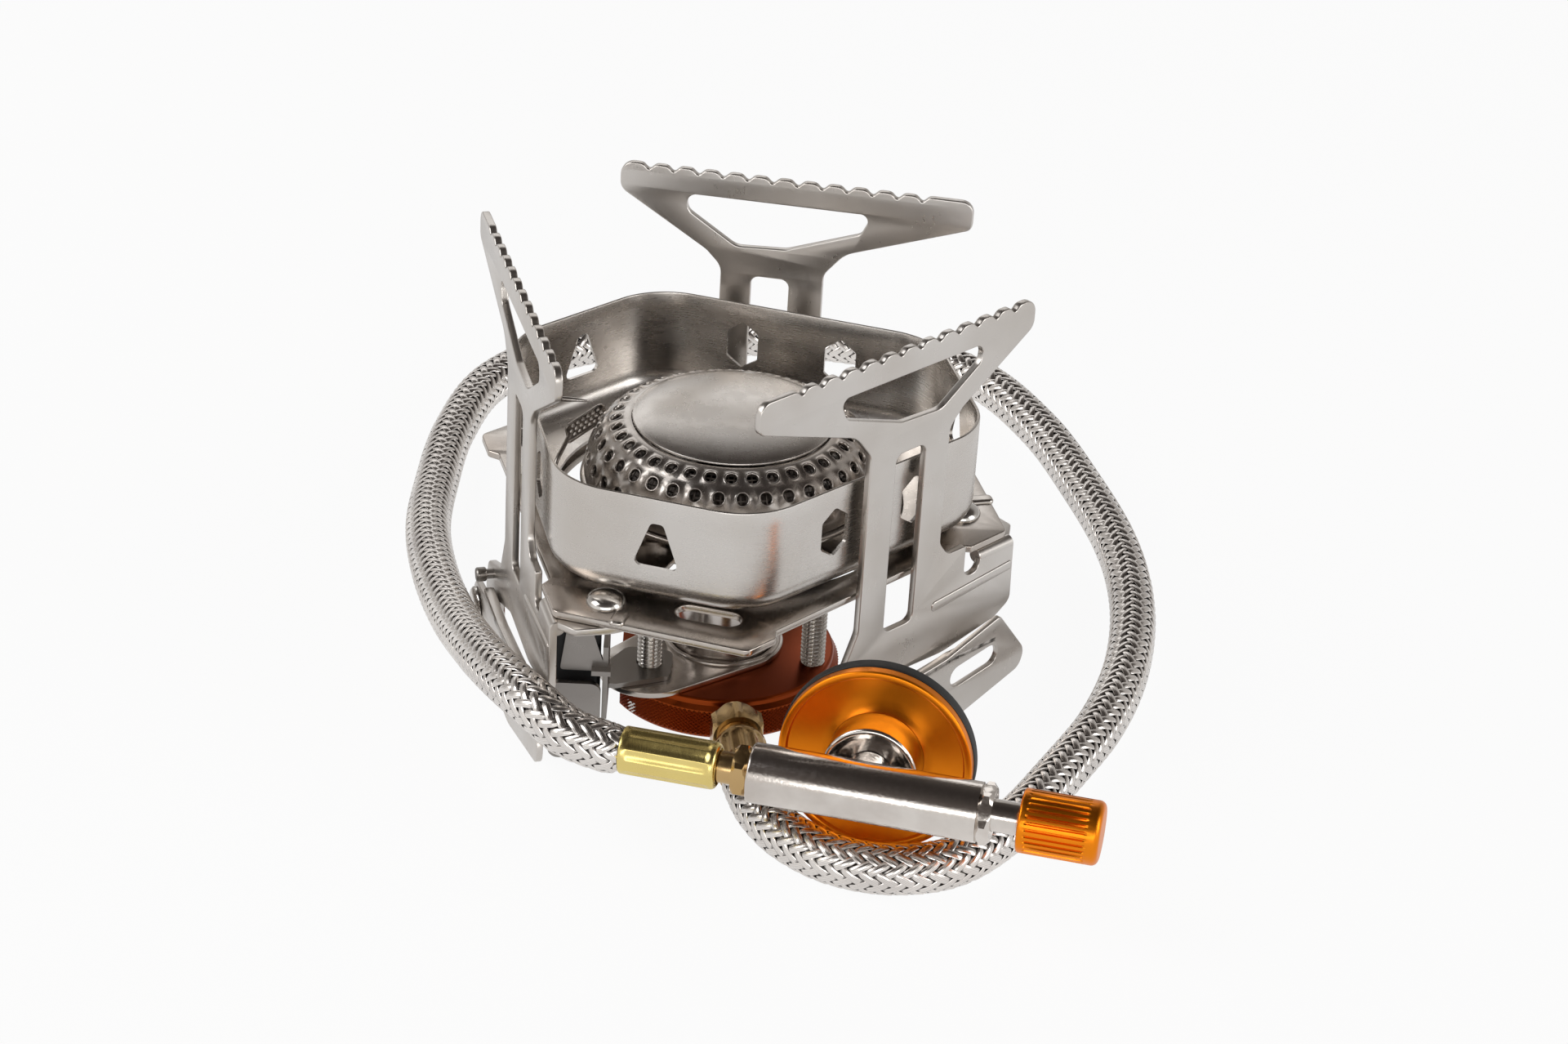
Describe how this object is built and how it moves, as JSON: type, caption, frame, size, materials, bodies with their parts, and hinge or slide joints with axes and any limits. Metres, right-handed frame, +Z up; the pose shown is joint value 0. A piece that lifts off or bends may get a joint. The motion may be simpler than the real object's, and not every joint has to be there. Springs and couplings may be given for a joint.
{
  "type": "canister stove",
  "caption": "Folding burner with a wind cup, swing-out support legs, push igniter, braided hose and a canister valve with knob.",
  "frame": {"origin": "on the stove's axis, on the flat underside of the base disc, which rests on the ground", "axes": "+Z up along the burner's axis; -Y towards the hose valve; legs a, b and c face -45, 75 and 195 degrees from +X"},
  "size_m": [0.1248, 0.1907, 0.0714],
  "materials": {
    "cup_steel": "satin stainless sheet",
    "ring_steel": "heat-tinted stainless sheet",
    "gauze_wire": "woven wire",
    "brass": "machined",
    "yellow_brass": "bright machined",
    "tube_steel": "turned",
    "plate_steel": "satin sheet",
    "leg_steel": "satin sheet, warm grey",
    "fastener_steel": "turned, bright",
    "anodised": "orange anodised aluminium, satin",
    "braid": "flat wire braid",
    "liner": "smooth",
    "polished_nickel": "polished nickel plate",
    "black_rubber": "matte",
    "black_plastic": "matte moulded",
    "dark_steel": "dark oxide",
    "lead_rubber": "smooth",
    "ceramic": "glazed ceramic"
  },
  "bodies": {
    "stove": {"wind_cup": "cup_steel", "burner_cap": "cup_steel", "flame_ring": "ring_steel", "flame_gauze": "gauze_wire", "burner_base": "brass", "spark_shield": "ring_steel", "mixing_tube": "tube_steel", "top_plate": "plate_steel", "lower_plate": "plate_steel", "base_disc": "anodised", "gas_jet": "brass", "frame_screws": "fastener_steel", "frame_nuts": "fastener_steel", "leg_rivets": "fastener_steel", "inlet_nut": "brass", "burner_ferrule": "brass", "hose_braid": "braid", "hose_liner": "liner", "valve_ferrule": "yellow_brass", "valve_tail": "brass", "valve_body": "polished_nickel", "valve_bonnet": "polished_nickel", "coupling_disc": "anodised", "coupling_ring": "black_rubber", "coupling_boss": "polished_nickel", "coupling_seal": "black_rubber", "depressor_pin": "brass", "igniter_body": "black_plastic", "igniter_spring": "dark_steel", "igniter_bracket": "plate_steel", "igniter_lead": "lead_rubber", "electrode_insulator": "ceramic", "electrode": "ring_steel"},
    "needle_body": {"valve_needle": "plate_steel"},
    "knob_body": {"knob": "anodised", "valve_spindle": "polished_nickel", "spindle_seal": "black_rubber"},
    "button_body": {"igniter_button": "dark_steel"},
    "leg_a_body": {"leg_a": "leg_steel", "foot_rivet_a": "fastener_steel", "stop_pin_a": "dark_steel"},
    "foot_a_body": {"foot_a": "leg_steel"},
    "leg_b_body": {"leg_b": "leg_steel", "foot_rivet_b": "fastener_steel", "stop_pin_b": "dark_steel"},
    "foot_b_body": {"foot_b": "leg_steel"},
    "leg_c_body": {"leg_c": "leg_steel", "foot_rivet_c": "fastener_steel", "stop_pin_c": "dark_steel"},
    "foot_c_body": {"foot_c": "leg_steel"}
  },
  "joints": [
    {"name": "leg_a_swing", "type": "hinge", "parent": "stove", "child": "leg_a_body", "pos_m": [0.03613, 0.00049, 0.0297], "axis": [0, 0, 1], "range_deg": [0, 121], "deforming": ["hose_braid", "hose_liner"]},
    {"name": "foot_a_fold", "type": "hinge", "parent": "leg_a_body", "child": "foot_a_body", "pos_m": [0.01294, -0.0358, 0.0069], "axis": [0.6947, -0.7193, 0], "range_deg": [-75, 0]},
    {"name": "leg_b_swing", "type": "hinge", "parent": "stove", "child": "leg_b_body", "pos_m": [-0.0185, 0.03104, 0.0297], "axis": [0, 0, 1], "range_deg": [-6, 115], "deforming": ["hose_braid", "hose_liner"]},
    {"name": "foot_b_fold", "type": "hinge", "parent": "leg_b_body", "child": "foot_b_body", "pos_m": [0.0245, 0.03362, 0.0069], "axis": [0.1736, 0.9848, 0], "range_deg": [-75, 0]},
    {"name": "leg_c_swing", "type": "hinge", "parent": "stove", "child": "leg_c_body", "pos_m": [-0.01764, -0.03154, 0.0297], "axis": [0, 0, 1], "range_deg": [-1, 120], "deforming": ["hose_braid", "hose_liner"]},
    {"name": "foot_c_fold", "type": "hinge", "parent": "leg_c_body", "child": "foot_c_body", "pos_m": [-0.03814, 0.00634, 0.0069], "axis": [-0.9659, -0.2588, 0], "range_deg": [-75, 0]},
    {"name": "spindle_travel", "type": "slide", "parent": "stove", "child": "needle_body", "axis": [0.9728, -0.2317, 0], "range_m": [0, 0.00075]},
    {"name": "knob_turn", "type": "hinge", "parent": "needle_body", "child": "knob_body", "pos_m": [0.03483, -0.0626, 0.0183], "axis": [0.9728, -0.2317, 0], "range_deg": [0, 540]},
    {"name": "igniter_push", "type": "slide", "parent": "stove", "child": "button_body", "axis": [0, 1, 0], "range_m": [0, 0.002], "stiffness_N_per_m": 1500, "springref_m": -0.001, "deforming": ["igniter_spring"]}
  ],
  "couplings": [
    {"joint": "knob_turn", "follows": "spindle_travel", "rad_per_m": 12566}
  ]
}
